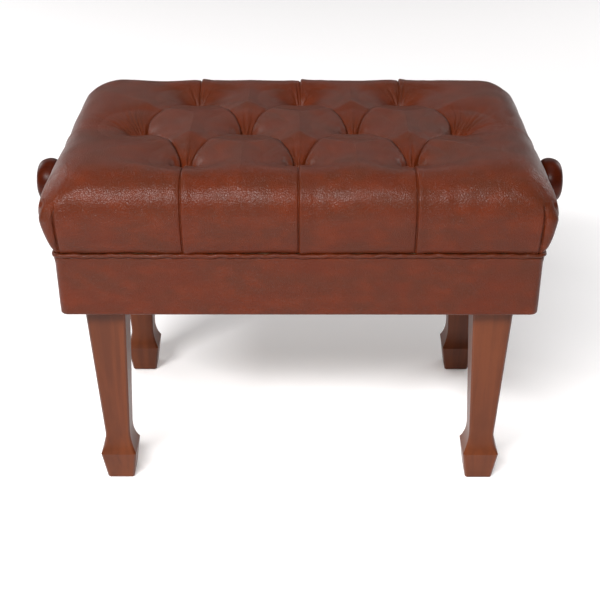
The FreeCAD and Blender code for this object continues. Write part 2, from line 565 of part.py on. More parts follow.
def make_screw():
    shaft = rod(SHAFT_R, (-SHAFT_END_X, 0, SCREW_Z), (SHAFT_END_X, 0, SCREW_Z))
    thread = rod(THREAD_R, (THREAD_X0, 0, SCREW_Z), (THREAD_X1, 0, SCREW_Z))
    parts["lead_screw"] = fuse(shaft, thread)
    collars, inserts = [], []
    gap = BLOCK_X / 2 + COLLAR_GAP
    for x in (PIVOT_X - gap - COLLAR_W, PIVOT_X + gap):
        collars.append(tube(COLLAR_R, SHAFT_R, (x, 0, SCREW_Z), (x + COLLAR_W, 0, SCREW_Z)))
    for s, name in SIDES:
        parts[f"knob_{name}"] = knob(s)
        insert_start = (s * (KNOB_NECK_X + 1), 0, SCREW_Z)
        inserts.append(tube(INSERT_R - RUN, SHAFT_R, insert_start, (s * SHAFT_END_X, 0, SCREW_Z)))
    parts["thrust_collars"] = group(collars)
    parts["knob_inserts"] = group(inserts)


def main():
    make_leg_frame()
    make_seat_box()
    make_tracks()
    make_scissors()
    make_screw()
    make_upholstery()
    os.makedirs("parts", exist_ok=True)
    for name in os.listdir("parts"):
        if name.endswith(".step") and name[:-5] not in parts:
            os.remove(os.path.join("parts", name))
    for name, shape in parts.items():
        if not shape.isValid() or shape.Volume <= 0:
            print("CHECK", name, shape.isValid(), shape.Volume)
        shape.exportStep(f"parts/{name}.step")
    travel_angle = math.degrees(math.asin((SCREW_Z - LOW_Z + TRAVEL) / ARM_LENGTH) - START_ANGLE)
    print(len(parts), "nodes; arm turns", round(travel_angle, 4), "degrees; free end at x", round(FREE_X, 3))
    print("arm centre", round(MID_X, 3), round(MID_Z, 3))


main()
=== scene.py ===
"""Looks of a height-adjustable piano bench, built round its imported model. Metres, +Z up, +Y to the back."""
import bpy
import math
import numpy as np
from mathutils import Matrix, Vector


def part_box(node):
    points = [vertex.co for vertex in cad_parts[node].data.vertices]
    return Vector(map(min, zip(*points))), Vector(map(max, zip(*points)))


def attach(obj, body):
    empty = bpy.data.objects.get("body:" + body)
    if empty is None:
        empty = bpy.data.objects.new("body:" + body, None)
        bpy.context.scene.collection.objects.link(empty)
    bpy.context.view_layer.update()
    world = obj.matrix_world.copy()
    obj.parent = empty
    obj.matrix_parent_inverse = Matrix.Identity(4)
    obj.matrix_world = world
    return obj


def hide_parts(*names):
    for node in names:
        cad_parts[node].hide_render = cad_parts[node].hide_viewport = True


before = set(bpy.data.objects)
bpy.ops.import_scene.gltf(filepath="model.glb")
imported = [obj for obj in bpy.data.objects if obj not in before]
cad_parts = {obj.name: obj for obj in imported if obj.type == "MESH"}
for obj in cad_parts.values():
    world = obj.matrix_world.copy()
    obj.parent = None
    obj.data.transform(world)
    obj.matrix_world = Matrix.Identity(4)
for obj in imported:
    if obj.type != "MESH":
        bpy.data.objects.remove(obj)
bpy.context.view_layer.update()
MM = 0.001

# ---- sizes taken from the frame -----------------------------------------------------------------------
BOX_LOW, BOX_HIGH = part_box("skirt_cover")
PIPE_LOW, PIPE_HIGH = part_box("piping")
COVER_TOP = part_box("cushion_cover")[1].z
BUTTON_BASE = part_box("tuft_buttons")[0].z
BOARD_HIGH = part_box("seat_board")[1]
BOARD_GAP = 0.4 * MM  # between the seat board and the cover's underside
SEAM_Z = (PIPE_LOW.z + PIPE_HIGH.z) / 2
CORNER, PATH_STEP = 10 * MM, 3 * MM  # the box's corner radius, and the points' distance round it

# Tufts: a lattice with half a tuft's spacing across and one row's spacing in depth
HALF_PITCH = 68.5 * MM
ROW_PITCH = 110 * MM
TUFT_ROWS = ((-1, (-2, 0, 2)), (0, (-3, -1, 1, 3)), (1, (-2, 0, 2)))


# ---- shader maths ---------------------------------------------------------------------------------------
class Val:
    """A socket of a node tree that can be used in expressions."""

    def __init__(self, tree, socket):
        self.tree, self.socket = tree, socket

    def node(self, kind, settings=None, out=0, **links):
        """Adds a node; settings are set first, then the sockets in links, by name or as n0, n1 and so on."""
        made = self.tree.nodes.new(kind)
        for key, value in (settings or {}).items():
            setattr(made, key, value)
        for key, value in links.items():
            place = int(key[1:]) if key[0] == "n" and key[1:].isdigit() else key.replace("_", " ")
            slot = made.inputs[place]
            if isinstance(value, Val):
                self.tree.links.new(value.socket, slot)
            else:
                slot.default_value = value
        return Val(self.tree, made.outputs[out])

    def maths(self, operation, *others):
        values = {f"n{i}": v for i, v in enumerate((self, *others))}
        return self.node("ShaderNodeMath", {"operation": operation}, **values)

    def __add__(self, other):
        return self.maths("ADD", other)

    def __sub__(self, other):
        return self.maths("SUBTRACT", other)

    def __mul__(self, other):
        return self.maths("MULTIPLY", other)

    def __rsub__(self, other):
        return (self * -1) + other

    __radd__ = __add__
    __rmul__ = __mul__

    def smooth(self, low, high):
        """Smooth step from 0 at low to 1 at high."""
        return self.node("ShaderNodeMapRange", {"interpolation_type": "SMOOTHSTEP"}, n0=self, n1=low, n2=high)

    def mix(self, first, second):
        """Colour between first and second, by this value."""
        first, second = (c if isinstance(c, Val) else (*c, 1) for c in (first, second))
        return self.node("ShaderNodeMix", {"data_type": "RGBA"}, 2, n0=self, n6=first, n7=second)

    def scaled(self, x, y, z):
        """Coordinates stretched along each axis."""
        return self.node("ShaderNodeMapping", n0=self, n3=(x, y, z))

    def noise(self, scale, detail, roughness, **more):
        links = {"Vector": self, "Scale": scale, "Detail": detail, "Roughness": roughness}
        return self.node("ShaderNodeTexNoise", **links, **more)

    def cells(self, scale, feature="F1", **more):
        return self.node("ShaderNodeTexVoronoi", {"feature": feature}, Vector=self, Scale=scale, **more)

    def bump(self, distance, strength):
        return self.node("ShaderNodeBump", Height=self, Distance=distance, Strength=strength)


def finish(name, make, **constants):
    """A material: make(coords) returns the varying inputs of the shader, constants are set on its sockets."""
    material = bpy.data.materials.new(name)
    material.use_nodes = True
    tree = material.node_tree
    shader = tree.nodes["Principled BSDF"]
    for key, value in constants.items():
        shader.inputs[key.replace("_", " ")].default_value = value
    start = Val(tree, tree.nodes.new("ShaderNodeTexCoord").outputs["Object"])
    for key, value in make(start).items():
        tree.links.new(value.socket, shader.inputs[key.replace("_", " ")])
    return material


def leather(name, tone=1.0):
    """Mottled reddish brown leather with a fine pebble grain."""
    brown = (0.075 * tone, 0.0108 * tone, 0.0018 * tone)
    grey_brown = (0.063 * tone, 0.0124 * tone, 0.0036 * tone)
    red_brown = (0.097 * tone, 0.0140 * tone, 0.0018 * tone)
    grain_depth = 0.00055

    def make(coords):
        drift = coords.scaled(0.75, 1.0, 1.25)
        clouds = drift.noise(26.0, 3.0, 0.5).smooth(0.30, 0.72)
        moved = drift.node("ShaderNodeVectorMath", {"operation": "ADD"}, n0=drift, n1=(3.1, 1.7, 0.4))
        patches = moved.noise(52.0, 4.0, 0.55).smooth(0.38, 0.76)
        base = (patches * 0.7).mix(clouds.mix(grey_brown, brown), red_brown)
        pebbles = coords.cells(560.0, "SMOOTH_F1", Smoothness=0.35, Randomness=0.9)
        creases = coords.cells(450.0, "DISTANCE_TO_EDGE", Randomness=1.0).smooth(0.0, 0.12)
        grain = (1 - pebbles) * 0.65 + creases * 0.35
        dust = coords.noise(300.0, 2.0, 0.6)
        rough = 0.27 + clouds * 0.03 + dust * 0.06
        return {"Base_Color": base, "Roughness": rough, "Normal": grain.bump(grain_depth, 0.9)}

    return finish(name, make, Specular_IOR_Level=0.17)


def stained_wood(name, light, dark, along, rough, coat=0.0, figure=1.0, shine=0.5):
    """Stained wood; the grain runs along one axis, and figure is how much of its arches and pores shows."""
    stretch = {"x": (0.05, 1, 1), "y": (1, 0.05, 1), "z": (1, 1, 0.05)}[along]
    pore_depth = 0.22 * figure
    in_pores, in_blotches = tuple(c * 0.45 for c in dark), tuple(c * 1.25 for c in light)

    def make(coords):
        long_way = coords.scaled(*stretch)
        bands = long_way.noise(52.0, 3.0, 0.55, Distortion=0.6).smooth(0.3, 0.72)
        rings = (long_way.noise(13.0, 1.0, 0.4) * 14.0).maths("FRACT")
        arches = rings.smooth(0.0, 0.9) * rings.smooth(1.0, 0.9)
        fibres = long_way.noise(700.0, 3.0, 0.6)
        pores = long_way.cells(1100.0).smooth(0.0, 0.3)
        tone = bands * 0.55 + fibres * 0.3 + arches * 0.15 * figure
        base = tone.smooth(0.1, 0.85).mix(dark, light)
        base = (pores * pore_depth + (1 - pore_depth)).mix(in_pores, base)
        blotch = coords.noise(11.0, 3.0, 0.55).smooth(0.35, 0.72)
        base = (blotch * 0.35).mix(base, in_blotches)
        height = fibres * 0.5 + pores * 0.5
        return {"Base_Color": base, "Roughness": rough + fibres * 0.08, "Normal": height.bump(0.00005, 0.4)}

    return finish(name, make, Coat_Weight=coat, Coat_Roughness=0.15, Specular_IOR_Level=shine)


def plain_metal(name, colour, rough, metallic=1.0):
    """Worn metal with faint smears, or black paint on metal when metallic is 0."""

    def make(coords):
        wear = coords.noise(260.0, 3.0, 0.6)
        smears = coords.noise(32.0, 3.0, 0.6)
        base = smears.smooth(0.3, 0.75).mix(tuple(c * 0.82 for c in colour), colour)
        uneven = rough + wear * 0.12 + smears * 0.08
        return {"Base_Color": base, "Roughness": uneven, "Normal": wear.bump(0.00003, 0.4)}

    return finish(name, make, Metallic=metallic)


def soft_stuff(name, colour, scale, rough=0.9):
    """Matt material with a lumpy surface: nylon, felt or twine, by the size of its lumps."""

    def make(coords):
        lumps = coords.cells(scale)
        fluff = coords.noise(scale * 0.6, 4.0, 0.7)
        base = (fluff * 0.8).mix(colour, tuple(c * 0.72 for c in colour))
        uneven = fluff * 0.1 + rough - 0.05
        return {"Base_Color": base, "Roughness": uneven, "Normal": (lumps + fluff).bump(0.0003, 0.5)}

    return finish(name, make)


def make_finishes():
    brown = ((0.106, 0.0250, 0.0062), (0.069, 0.0152, 0.0038))
    dark_brown = ((0.055, 0.0070, 0.0009), (0.027, 0.0028, 0.0004))
    pine = ((0.60, 0.42, 0.24), (0.48, 0.31, 0.16))
    return {
        "leather": leather("leather"),
        "piping_leather": leather("piping_leather", 0.9),
        "button_leather": leather("button_leather", 0.85),
        "leg_wood": stained_wood("leg_wood", *brown, "z", 0.34, coat=0.04, shine=0.2),
        "rail_wood_x": stained_wood("rail_wood_x", *brown, "x", 0.34, coat=0.04, shine=0.2),
        "rail_wood_y": stained_wood("rail_wood_y", *brown, "y", 0.34, coat=0.04, shine=0.2),
        "knob_wood": stained_wood("knob_wood", *dark_brown, "x", 0.3, figure=0.3, shine=0.1),
        "pine_x": stained_wood("pine_x", *pine, "x", 0.6),
        "pine_y": stained_wood("pine_y", *pine, "y", 0.6),
        "pine_z": stained_wood("pine_z", *pine, "z", 0.6),
        "zinc_steel": plain_metal("zinc_steel", (0.62, 0.61, 0.57), 0.28),
        "bright_steel": plain_metal("bright_steel", (0.56, 0.56, 0.57), 0.22),
        "black_steel": plain_metal("black_steel", (0.022, 0.022, 0.024), 0.42, 0.0),
        "brass": plain_metal("brass", (0.62, 0.40, 0.15), 0.3),
        "nylon": soft_stuff("nylon", (0.74, 0.72, 0.65), 500.0, 0.5),
        "felt": soft_stuff("felt", (0.7, 0.67, 0.6), 700.0),
        "twine": soft_stuff("twine", (0.55, 0.46, 0.32), 1500.0),
    }


# ---- mesh helpers ---------------------------------------------------------------------------------------
def piece(name, verts, faces, material, body):
    """A smooth-shaded mesh with one material, that rides a body."""
    mesh = bpy.data.meshes.new(name)
    mesh.from_pydata([tuple(v) for v in verts], [], faces)
    mesh.update()
    made = bpy.data.objects.new(name, mesh)
    bpy.context.scene.collection.objects.link(made)
    mesh.materials.append(material)
    mesh.polygons.foreach_set("use_smooth", [True] * len(mesh.polygons))
    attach(made, body)
    return made


def rounded_path(half_x, half_y, radius, step, turns=10):
    """Points and outward directions round a rounded rectangle, anticlockwise from the right side."""
    straight_x, straight_y = half_x - radius, half_y - radius
    points, ways = [], []
    for corner, (sx, sy) in enumerate(((1, 1), (-1, 1), (-1, -1), (1, -1))):
        start = corner * math.pi / 2
        for k in range(turns + 1):
            angle = start + k / turns * math.pi / 2
            way = (math.cos(angle), math.sin(angle))
            points.append((sx * straight_x + radius * way[0], sy * straight_y + radius * way[1]))
            ways.append(way)
        length = 2 * (straight_x if corner % 2 == 0 else straight_y)
        along = (-math.sin(start + math.pi / 2), math.cos(start + math.pi / 2))
        way = (math.cos(start + math.pi / 2), math.sin(start + math.pi / 2))
        last = points[-1]
        count = int(length / step)
        for k in range(1, count):
            gone = length * k / count
            points.append((last[0] + along[0] * gone, last[1] + along[1] * gone))
            ways.append(way)
    return np.array(points), np.array(ways)


def swept_ring(name, path, section, material, body):
    """Closed section swept round a path; section(i) gives rows of (out, z) for the path's i-th point."""
    points, ways = path
    rings = [section(i) for i in range(len(points))]
    count, size = len(points), len(rings[0])
    verts = []
    for point, way, ring in zip(points, ways, rings):
        verts += [(point[0] + way[0] * out, point[1] + way[1] * out, z) for out, z in ring]
    faces = []
    for i in range(count):
        j = (i + 1) % count
        for k in range(size):
            m = (k + 1) % size
            faces.append((i * size + k, j * size + k, j * size + m, i * size + m))
    return piece(name, verts, faces, material, body)


def waves(length, seed, period, size):
    """A smooth closed wander of a given size along a path, one value for each point."""
    made = np.zeros(length)
    place = np.linspace(0, 2 * math.pi, length, endpoint=False)
    turns = max(round(2 * math.pi / period), 1)
    random = np.random.default_rng(seed)
    for turn in (turns, round(turns * 1.7), round(turns * 2.9)):
        made += np.sin(place * turn + random.uniform(0, 6.28)) * random.uniform(0.3, 1.0)
    return made * size / 1.6


# ---- the cushion ----------------------------------------------------------------------------------------
class Cushion:
    """Leather seat cushion: a smooth envelope of rounded rectangles, drawn down at the tufts and folds.

    Every point has sheet coordinates (u, v), measured along the leather from the middle of the seat. Past
    the flat top the leather runs over the shoulder and down the sides to the seam.
    """

    HALF_X, HALF_Y = 306 * MM, 197 * MM
    SHOULDER, SHOULDER_DROP = 62 * MM, 56 * MM  # plan width and height of the round shoulder
    SQUARENESS = 2.25  # exponent of the shoulder's superellipse
    TUCK, NIP = 9.5 * MM, 4.5 * MM  # how far the side draws in below the shoulder, and near the seam
    CORNERS = (6 * MM, 17 * MM, 58 * MM)  # corner radius at the seam, under the shoulder and on top
    PER_HALF_PITCH = 56  # grid steps from one tuft to the next lattice line, both ways
    CROWD = 0.45  # how much closer together the grid's lines are near the tufts
    RIM = 44 * MM  # leather from the start of the shoulder to the grid's edge
    SIDE_ROWS = 44
    CROWN = 1.5 * MM
    TUFT_DEPTH, FOLD_DEPTH = 34 * MM, 16 * MM
    TUFT_WIDE = (20 * MM, 27 * MM, 30 * MM)  # depth of a tuft's wide hollow, by row from the front
    BOW, LEAN = 11 * MM, 6.5 * MM  # bow of the fold lines, and how far a pillow's rim hangs over its fold
    LIP = 2.5 * MM  # from a fold to the part of the rim that hangs over most
    ROLL = 1.1 * MM  # height of the thin roll beside each fold
    DISH = 41 * MM  # half width of a tuft's wide hollow
    THROAT = 10.5 * MM  # half the distance between two folds where they leave a tuft
    PUCKER = 3.4 * MM  # depth of the gathers behind a tuft
    ON_LINE = 0.001 * MM

    def __init__(self):
        self.top_z, self.seam_z = COVER_TOP + 0.7 * MM, SEAM_Z
        self.belt_z = self.top_z - self.SHOULDER_DROP
        self.flat_x, self.flat_y = self.HALF_X - self.SHOULDER, self.HALF_Y - self.SHOULDER
        self.make_profile()

    def make_profile(self):
        """Profile over the shoulder: leather length against plan distance out, height and corner radius."""
        turn = np.linspace(0, math.pi / 2, 90)
        power = 2 / self.SQUARENESS
        out = self.SHOULDER * np.sin(turn) ** power
        z = self.belt_z + (self.top_z - self.belt_z) * np.cos(turn) ** power
        fall = np.linspace(0, 1, 41)[1:]
        low_out = self.SHOULDER - self.TUCK * fall ** 1.5 - self.NIP * fall ** 9
        low_z = self.belt_z - (self.belt_z - self.seam_z) * fall
        self.out = np.concatenate([out, low_out])
        self.z = np.concatenate([z, low_z])
        self.run = np.concatenate([[0], np.cumsum(np.hypot(np.diff(self.out), np.diff(self.z)))])
        self.radius = np.interp(self.z, [self.seam_z, self.belt_z, self.top_z], self.CORNERS)
        self.radius = np.minimum(self.radius, self.out)

    def envelope(self, u, v, run):
        """Smooth surface point for grid coordinates; run is the leather length past the flat top."""
        beyond_u = np.maximum(np.abs(u) - self.flat_x, 0)
        beyond_v = np.maximum(np.abs(v) - self.flat_y, 0)
        out = np.interp(run, self.run, self.out)
        z = np.interp(run, self.run, self.z)
        radius = np.interp(run, self.run, self.radius)
        larger = np.maximum(np.maximum(beyond_u, beyond_v), 1e-9)
        share = np.minimum(beyond_u, beyond_v) / larger
        straight = out - radius
        length = straight + radius * math.pi / 4
        along = share * length
        angle = np.clip((along - straight) / np.maximum(radius, 1e-9), 0, math.pi / 4)
        far = straight + radius * np.cos(angle)
        near = np.where(along < straight, along, straight + radius * np.sin(angle))
        over_u = beyond_u >= beyond_v
        ex, ey = np.where(over_u, far, near), np.where(over_u, near, far)
        x = np.sign(u) * (np.minimum(np.abs(u), self.flat_x) + ex)
        y = np.sign(v) * (np.minimum(np.abs(v), self.flat_y) + ey)
        return np.stack(self.pulled(x, y, z), -1)

    def pulled(self, x, y, z):
        """What a block lacks: drawn-in ends, a right end pulled tighter than the left, and a crown."""
        low = np.clip((self.belt_z - z) / (self.belt_z - self.seam_z), 0, 1)
        end = np.sign(x) * (np.abs(x) / self.HALF_X) ** 6
        x = x - end * (1.5 * MM * np.abs(y / self.HALF_Y) ** 3 + 4 * MM * low)
        high = np.clip((z - self.belt_z) / (self.top_z - self.belt_z), 0, 1)
        back = np.clip(y / self.HALF_Y, 0, 1)
        x = x - np.clip(x / self.HALF_X, 0, 1) ** 3 * high * (4 + 4 * back ** 2) * MM
        crown = self.CROWN * (1 - (x / self.HALF_X) ** 2) * (1 - (y / self.HALF_Y) ** 2)
        return x, y, z + crown

    def crowded(self, index):
        """Grid lines drawn together where the tufts, folds and pleats are."""
        period = 2 * math.pi / self.PER_HALF_PITCH
        return index - self.CROWD * np.sin(index * period) / period

    def grid(self):
        """Coordinates and faces of the sheet: a crowded grid on top, then its edge in rows down to the seam."""
        step_u = HALF_PITCH / self.PER_HALF_PITCH
        step_v = ROW_PITCH / self.PER_HALF_PITCH
        nx = round((self.flat_x + self.RIM) / step_u)
        ny = round((self.flat_y + self.RIM) / step_v)
        us = self.crowded(np.arange(-nx, nx + 1)) * step_u
        vs = self.crowded(np.arange(-ny, ny + 1)) * step_v
        grid_u, grid_v = np.meshgrid(us, vs, indexing="ij")
        index = np.arange(grid_u.size).reshape(grid_u.shape)
        edge = [(i, 0) for i in range(2 * nx)] + [(2 * nx, j) for j in range(2 * ny)]
        edge += [(i, 2 * ny) for i in range(2 * nx, 0, -1)] + [(0, j) for j in range(2 * ny, 0, -1)]
        rim_i, rim_j = np.array([e[0] for e in edge]), np.array([e[1] for e in edge])
        u, v = grid_u.ravel(), grid_v.ravel()
        run = np.maximum(np.maximum(np.abs(u) - self.flat_x, np.abs(v) - self.flat_y), 0)
        rim_u, rim_v = grid_u[rim_i, rim_j], grid_v[rim_i, rim_j]
        rim_run = np.maximum(np.abs(rim_u) - self.flat_x, np.abs(rim_v) - self.flat_y)
        rows = np.linspace(0, 1, self.SIDE_ROWS + 1)[1:]
        squares = np.stack([index[:-1, :-1], index[1:, :-1], index[1:, 1:], index[:-1, 1:]], -1)
        quads = [squares.reshape(-1, 4)]
        above = index[rim_i, rim_j]
        all_u, all_v, all_run = [u], [v], [run]
        for k, share in enumerate(rows):
            below = grid_u.size + k * len(edge) + np.arange(len(edge))
            quads.append(np.stack([above, below, np.roll(below, -1), np.roll(above, -1)], -1))
            all_u.append(rim_u)
            all_v.append(rim_v)
            all_run.append(rim_run + (self.run[-1] - rim_run) * share)
            above = below
        self.u, self.v, self.past = (np.concatenate(a) for a in (all_u, all_v, all_run))
        self.quads, self.last_ring = np.concatenate(quads), above

    def leather_place(self):
        """(u, v) measured along the leather on both the top and the sides."""
        beyond_u, beyond_v = np.abs(self.u) - self.flat_x, np.abs(self.v) - self.flat_y
        extra = np.maximum(self.past - np.maximum(np.maximum(beyond_u, beyond_v), 0), 0)
        on_u = beyond_u >= beyond_v
        u = self.u + np.where(on_u, np.sign(self.u) * extra, 0)
        v = self.v + np.where(~on_u, np.sign(self.v) * extra, 0)
        return u, v

    def diagonals(self):
        """Folds from each tuft to the tufts of the next row: (u0, v0, side)."""
        found = []
        for row, places in TUFT_ROWS[:2]:
            ahead = dict(TUFT_ROWS)[row + 1]
            for place in places:
                sides = [side for side in (-1, 1) if place + side in ahead]
                found += [(place * HALF_PITCH, row * ROW_PITCH, side) for side in sides]
        return found

    def build(self):
        self.grid()
        base = self.envelope(self.u, self.v, self.past)
        normal = self.normals(base)
        u, v = self.leather_place()
        depth, shift_u, shift_v = self.folds(u, v)
        across, along = self.tangents(normal)
        points = base + across * shift_u[:, None] + along * shift_v[:, None] - normal * depth[:, None]
        return points - self.corner_folds(base, normal)

    def normals(self, points):
        a, b, c, d = (points[self.quads[:, k]] for k in range(4))
        face = np.cross(c - a, d - b)
        total = np.zeros_like(points)
        for k in range(4):
            np.add.at(total, self.quads[:, k], face)
        return total / np.linalg.norm(total, axis=1)[:, None]

    @staticmethod
    def tangents(normal):
        """Unit directions along the leather, nearest to across (x) and along (y)."""
        across = np.stack([normal[:, 2], np.zeros(len(normal)), -normal[:, 0]], -1)
        across /= np.maximum(np.linalg.norm(across, axis=1), 0.2)[:, None]
        along = np.stack([np.zeros(len(normal)), normal[:, 2], -normal[:, 1]], -1)
        along /= np.maximum(np.linalg.norm(along, axis=1), 0.2)[:, None]
        return across, along

    def folds(self, u, v):
        """Depth below the envelope, and how far the leather shifts where folds bow and rims hang over."""
        parts = [np.zeros_like(u)]
        shift_u, shift_v = np.zeros_like(u), np.zeros_like(u)
        length = math.hypot(HALF_PITCH, ROW_PITCH)
        roll = np.zeros_like(u)
        for u0, v0, side in self.diagonals():
            dx, dy = side * HALF_PITCH / length, ROW_PITCH / length
            s = ((u - u0) * dx + (v - v0) * dy) / length
            d = ((u - u0) * dy - (v - v0) * dx) * side  # over 0 on the near pillow's side
            inside = np.clip(s, 0, 1)
            beyond = np.abs(s - inside) * length
            reach = np.hypot(d, beyond)
            on_fold = beyond < self.ON_LINE
            parts.append(self.fold_depth(inside, d, reach))
            belly = 4 * inside * (1 - inside) * (1.35 - 0.7 * inside)
            bow = self.BOW * belly * np.exp(-(reach / (34 * MM)) ** 2)
            along = inside * length
            opening = (1 - np.exp(-along / (4 * MM))) * np.exp(-along / (52 * MM))
            flare = self.THROAT * opening * np.exp(-(reach / (16 * MM)) ** 2)
            lip = np.clip(d / self.LIP, 0, 1) * np.exp(-np.maximum(d - self.LIP, 0) / (5 * MM)) * (d > 0)
            lean = self.LEAN * lip * np.clip(7 * inside * (1 - inside), 0, 1) * on_fold
            shift_u += side * (flare - dy * (bow + lean))
            shift_v += side * dx * (bow + lean)
            strip = np.exp(-((d + 5.5 * MM) / (1.9 * MM)) ** 2)
            strip *= np.clip(inside * 12, 0, 1) * np.clip(2.2 - 3.4 * inside, 0, 1)
            roll += self.ROLL * strip * on_fold
        hollows = [np.zeros_like(u)]
        for row, places in TUFT_ROWS:
            for place in places:
                x, y = u - place * HALF_PITCH, v - row * ROW_PITCH
                r = np.hypot(x, y)
                outwards = np.clip(row * y / np.maximum(r, 1e-6), 0, 1)
                reach = self.DISH * (1 - (0.6 if row > 0 else 0.25) * outwards ** 2)
                hollows.append(self.TUFT_WIDE[row + 1] / (1 + (r / reach) ** 2) ** 1.5)
                parts.append((self.TUFT_DEPTH - 1.5 * MM) * np.exp(-(r / (7 * MM)) ** 2))
        dish = self.smooth_max(hollows, 6 * MM)
        extra = self.smooth_max(parts, 2.6 * MM) - 0.55 * dish
        depth = dish + 0.5 * (extra + np.hypot(extra, 2.5 * MM)) + self.unevenness(u, v)
        pleats, rolls = self.edge_pleats(u, v)
        return depth + pleats + self.gathers(u, v) - roll - rolls, shift_u, shift_v

    def fold_depth(self, inside, d, reach):
        """Depth of one fold: deepest at its tufts, steep on the near pillow's side, wide on the far one's."""
        crease = self.FOLD_DEPTH + (self.TUFT_DEPTH - self.FOLD_DEPTH) * np.abs(2 * inside - 1) ** 2.4
        near = 0.55 * self.dome(reach, 50 * MM) + 0.45 * self.bowl(reach, 8 * MM)
        far = 0.8 * self.bowl(reach, 52 * MM) + 0.2 * self.bowl(reach, 9 * MM)
        return crease * np.where(d > 0, near, far)

    @staticmethod
    def unevenness(u, v):
        """Slow swells of a hand-stuffed seat, and faint wrinkles across the front and the back."""
        swell = np.sin(u * 37 + v * 11) * np.sin(v * 41 - u * 7)
        swell = swell + 0.6 * np.sin(u * 71 - v * 29 + 1.3) * np.sin(v * 83 + 0.4)
        steep = np.clip((np.abs(v) - 0.15) / 0.03, 0, 1)
        wrinkle = np.sin(u * 310 + 2 * np.sin(u * 47)) * np.clip(np.sin(u * 39 + 0.8) - 0.35, 0, 1)
        return 0.55 * MM * swell + 0.5 * MM * wrinkle * steep * np.exp(-((np.abs(v) - 0.2) / 0.045) ** 2)

    def gathers(self, u, v):
        """Radial puckers behind every tuft, where the leather is drawn into the fold."""
        total = np.zeros_like(u)
        for row, places in TUFT_ROWS:
            for place in places:
                x, y = u - place * HALF_PITCH, v - row * ROW_PITCH
                r, angle = np.hypot(x, y), np.arctan2(x, y)
                phase = 1.7 * place + 0.9 * row
                outer = abs(place) == 3
                count = 30 if outer else 20
                wave = np.sin(angle * count / 2 + phase + 0.3 * np.sin(angle * 5 + phase))
                lines = (1 - np.abs(wave)) ** 1.5
                varied = 0.65 + 0.35 * np.sin(angle * 7 + 3 * phase)
                spread = 1.0 if outer else 0.75
                lean = 0.5 * np.sign(place) if outer else 0.0
                fan = np.exp(-((angle - lean) / spread) ** 4)
                reach = 22 * MM if outer else 14 * MM
                fade = np.clip((r - 2 * MM) / (7 * MM), 0, 1) * np.exp(-np.maximum(r - 18 * MM, 0) / reach)
                total += self.PUCKER * lines * varied * fan * fade
        return total

    def edge_pleats(self, u, v):
        """Depth of the pleats from the outer tufts over the edge, and height of the roll beside each."""
        depth, roll = np.zeros_like(u), np.zeros_like(u)
        for end in (-1, 1):
            for place in (-2, 0, 2):
                deep, high = self.pleat(u - place * HALF_PITCH, end * v - ROW_PITCH)
                depth, roll = np.maximum(depth, deep), np.maximum(roll, high)
        for side in (-1, 1):
            deep, high = self.pleat(-v, side * u - 3 * HALF_PITCH, 2.2)
            depth, roll = np.maximum(depth, deep), np.maximum(roll, high)
        return depth, roll

    def pleat(self, d, run, wide=1.0):
        """A thin crease with a small roll on its positive side; run is the length from tuft to edge."""
        away = np.maximum(run, 0)
        open_part = 0.16 * self.TUFT_DEPTH * np.exp(-away / (9 * MM)) * self.bowl(np.abs(d), 12 * MM * wide)
        crease = 2.0 * MM * np.exp(-(d / (0.75 * MM)) ** 2)
        valley = 1.3 * MM * wide * self.bowl(np.abs(d), np.where(d > 0, 1.5 * MM, 15 * MM * wide))
        roll_at = 2.3 * MM
        roll_wide = np.where(d < roll_at, 1.2 * MM, 7 * MM)
        roll = 1.2 * MM * np.exp(-((d - roll_at) / roll_wide) ** 2)
        roll *= np.clip((away - 6 * MM) / (10 * MM), 0, 1)
        end = np.clip((self.run[-1] - self.past) / (9 * MM), 0.25, 1)
        return np.where(run > 0, (open_part + crease + valley) * end, 0), np.where(run > 0, roll, 0)

    def corner_folds(self, base, normal):
        """Sharp folds beside each corner, down the front, back and side faces to the seam."""
        x, y, z = np.abs(base[:, 0]), np.abs(base[:, 1]), base[:, 2]
        down = np.clip((self.belt_z - z) / (self.belt_z - self.seam_z), -1, 1)
        fade = np.clip((self.belt_z + 22 * MM - z) / (9 * MM), 0, 1)
        fade *= np.clip((z - self.seam_z) / (7 * MM), 0.3, 1)
        total = np.zeros_like(z)
        ends = (x, self.HALF_X - 5 * MM, np.abs(normal[:, 1]))
        fronts = (y, self.HALF_Y, np.abs(normal[:, 0]))
        for out, half, facing in (ends, fronts):
            line = half - 17 * MM - 1 * MM * down
            d = line - out  # over 0 away from the corner
            crease = 3.6 * MM * np.exp(-(d / (0.95 * MM)) ** 2)
            crease = crease + 2.2 * MM * self.bowl(np.abs(d), np.where(d > 0, 4 * MM, 15 * MM))
            total = np.maximum(total, crease * fade * np.clip((facing - 0.35) / 0.3, 0, 1))
        return normal * total[:, None]

    @staticmethod
    def bowl(r, width):
        """Falls off like the side of a bowl: steep at the middle, level at its width."""
        return np.maximum(1 - r / width, 0) ** 2

    @staticmethod
    def dome(r, width):
        """Falls off like the side of a tube: steep at the fold, level at its width."""
        return 1 - np.sqrt(1 - np.maximum(1 - r / width, 0) ** 2)

    @staticmethod
    def smooth_max(parts, sharp):
        """The largest of the parts, rounded where two of them meet; sharp is the size of the rounding."""
        stack = np.stack(parts)
        top = stack.max(0)
        total = np.exp((stack - top) / sharp).sum(0)
        return top + sharp * np.log(total) * np.clip(top / (6 * MM), 0, 1) * 0.6

